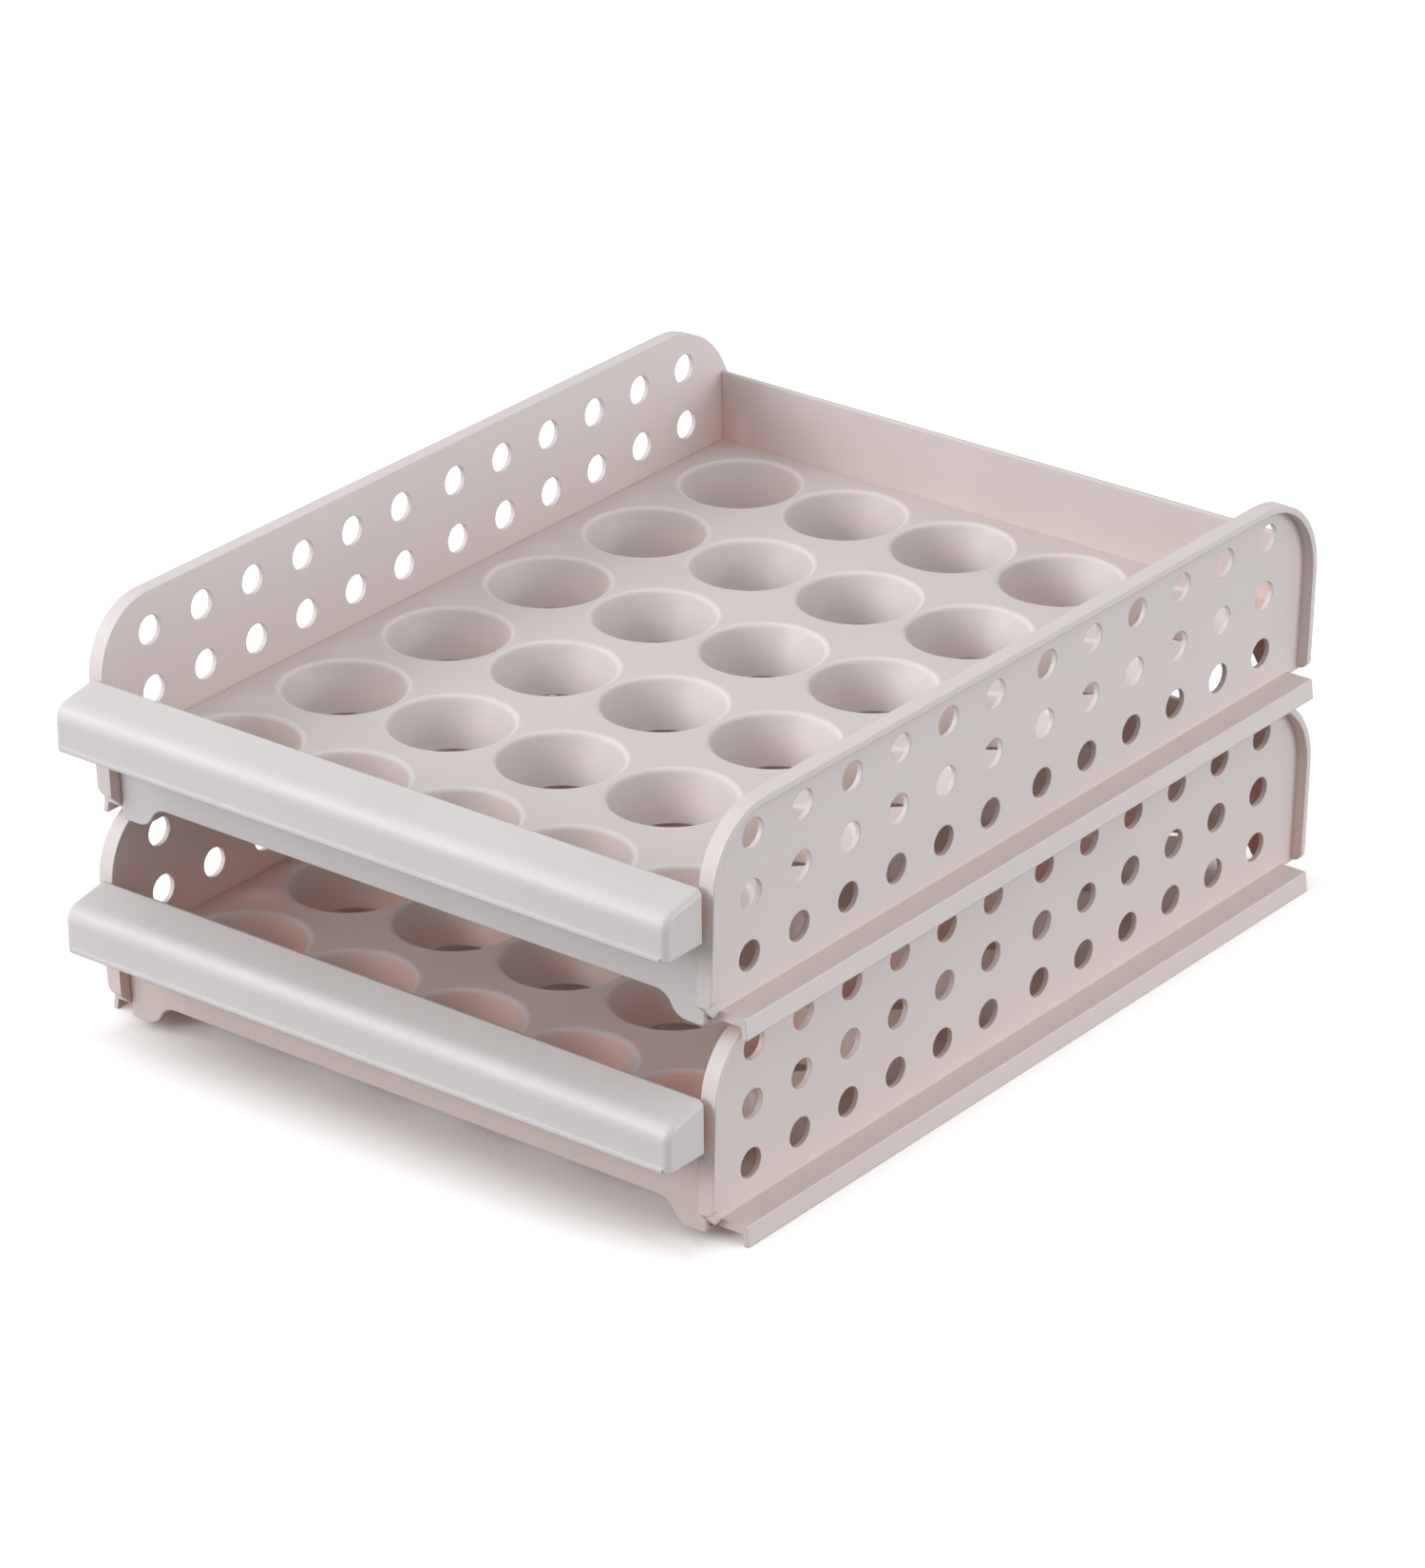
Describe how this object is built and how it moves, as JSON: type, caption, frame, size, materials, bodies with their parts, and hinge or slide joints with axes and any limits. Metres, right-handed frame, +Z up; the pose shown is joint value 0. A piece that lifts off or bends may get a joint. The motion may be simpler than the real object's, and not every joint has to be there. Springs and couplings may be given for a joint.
{
  "type": "egg holder tray",
  "caption": "Two-tier plastic egg holder tray with perforated side panels, open-bottomed egg cups and a handle bar on each tier; the upper tier slides forwards.",
  "frame": {"origin": "middle of the footprint's bounding box, at the height of the surface the lower tier stands on", "axes": "+Z up; -Y points to the handles at the front; +X to the right as seen from the front"},
  "size_m": [0.255, 0.334, 0.1422],
  "materials": {
    "moulded_plastic": "satin"
  },
  "bodies": {
    "lower_tier": {"lower_cup_tray": "moulded_plastic", "lower_left_side_panel": "moulded_plastic", "lower_right_side_panel": "moulded_plastic", "lower_front_panel": "moulded_plastic", "lower_handle_bar": "moulded_plastic", "lower_back_panel": "moulded_plastic"},
    "upper_tier": {"upper_cup_tray": "moulded_plastic", "upper_left_side_panel": "moulded_plastic", "upper_right_side_panel": "moulded_plastic", "upper_front_panel": "moulded_plastic", "upper_handle_bar": "moulded_plastic", "upper_back_panel": "moulded_plastic"}
  },
  "joints": [
    {"name": "upper_tier_slide", "type": "slide", "parent": "lower_tier", "child": "upper_tier", "axis": [0, -1, 0], "range_m": [0, 0.15]}
  ]
}
